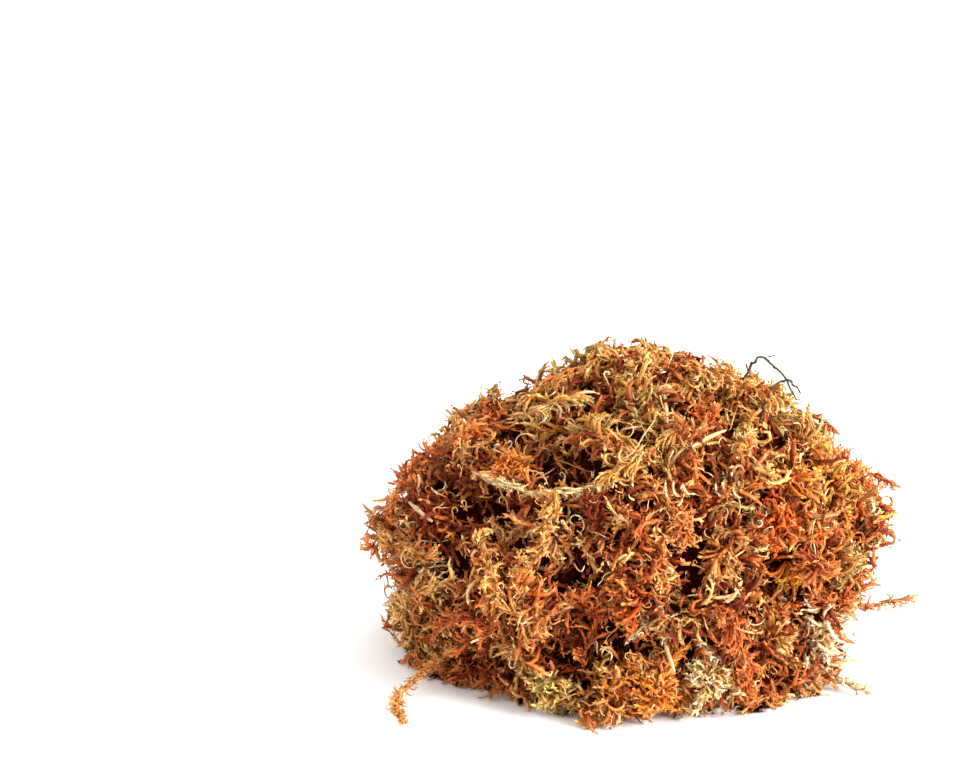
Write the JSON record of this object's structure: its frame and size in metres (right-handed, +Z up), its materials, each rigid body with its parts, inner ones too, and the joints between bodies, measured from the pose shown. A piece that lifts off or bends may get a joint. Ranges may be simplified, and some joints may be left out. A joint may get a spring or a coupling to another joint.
{
  "type": "moss clump",
  "caption": "Loose tangled clump of dried sphagnum moss: an orange, golden and rust heap with leafy shoot heads, sprigs, strays, bits of straw and thin dark twigs, flat underneath.",
  "frame": {"origin": "under the middle of the clump's box, in the plane it rests on", "axes": "+X to the right of someone who faces the clump, along its longest side; +Y to the back; +Z up"},
  "size_m": [0.1962, 0.175, 0.1155],
  "materials": {
    "tangled_moss": "dry, matte, tangled fibres",
    "golden_moss": "dry, matte, leafy",
    "rust_moss": "dry, matte, leafy",
    "pale_moss": "dry, matte, leafy",
    "twig_bark": "dry bark",
    "straw": "dry, slightly glossy"
  },
  "bodies": {
    "root": {"moss_mound": "tangled_moss", "gold_head_foot": "golden_moss", "gold_head_shoulder": "golden_moss", "gold_head_top": "golden_moss", "gold_sprig_back_1": "golden_moss", "gold_sprig_back_3": "golden_moss", "gold_sprig_back_6": "golden_moss", "gold_sprig_back_8": "golden_moss", "gold_sprig_back_11": "golden_moss", "gold_sprig_belly": "golden_moss", "gold_sprig_bend": "golden_moss", "gold_sprig_crest": "golden_moss", "gold_sprig_hanging": "golden_moss", "gold_sprig_left": "golden_moss", "gold_sprig_low_left": "golden_moss", "gold_sprig_middle": "golden_moss", "gold_sprig_top_left": "golden_moss", "gold_sprig_top_right": "golden_moss", "gold_stray_left": "golden_moss", "pale_head_corner": "pale_moss", "pale_head_foot": "pale_moss", "pale_head_side": "pale_moss", "pale_sprig_across": "pale_moss", "pale_sprig_back_4": "pale_moss", "pale_sprig_back_9": "pale_moss", "pale_stray_corner": "pale_moss", "rust_head_foot": "rust_moss", "rust_head_left": "rust_moss", "rust_head_low_right": "rust_moss", "rust_head_middle": "rust_moss", "rust_head_right": "rust_moss", "rust_head_top": "rust_moss", "rust_sprig_back_2": "rust_moss", "rust_sprig_back_5": "rust_moss", "rust_sprig_back_7": "rust_moss", "rust_sprig_back_10": "rust_moss", "rust_sprig_back_12": "rust_moss", "rust_sprig_centre": "rust_moss", "rust_sprig_corner": "rust_moss", "rust_sprig_edge": "rust_moss", "rust_sprig_low": "rust_moss", "rust_sprig_right": "rust_moss", "rust_sprig_shoulder": "rust_moss", "rust_stray_right": "rust_moss", "rust_stray_side": "rust_moss", "rust_stray_top_right": "rust_moss", "straw_low": "straw", "straw_slant": "straw", "straw_upright": "straw", "straw_white": "straw", "twig_arch": "twig_bark", "twig_back": "twig_bark", "twig_fork": "twig_bark"}
  },
  "joints": []
}
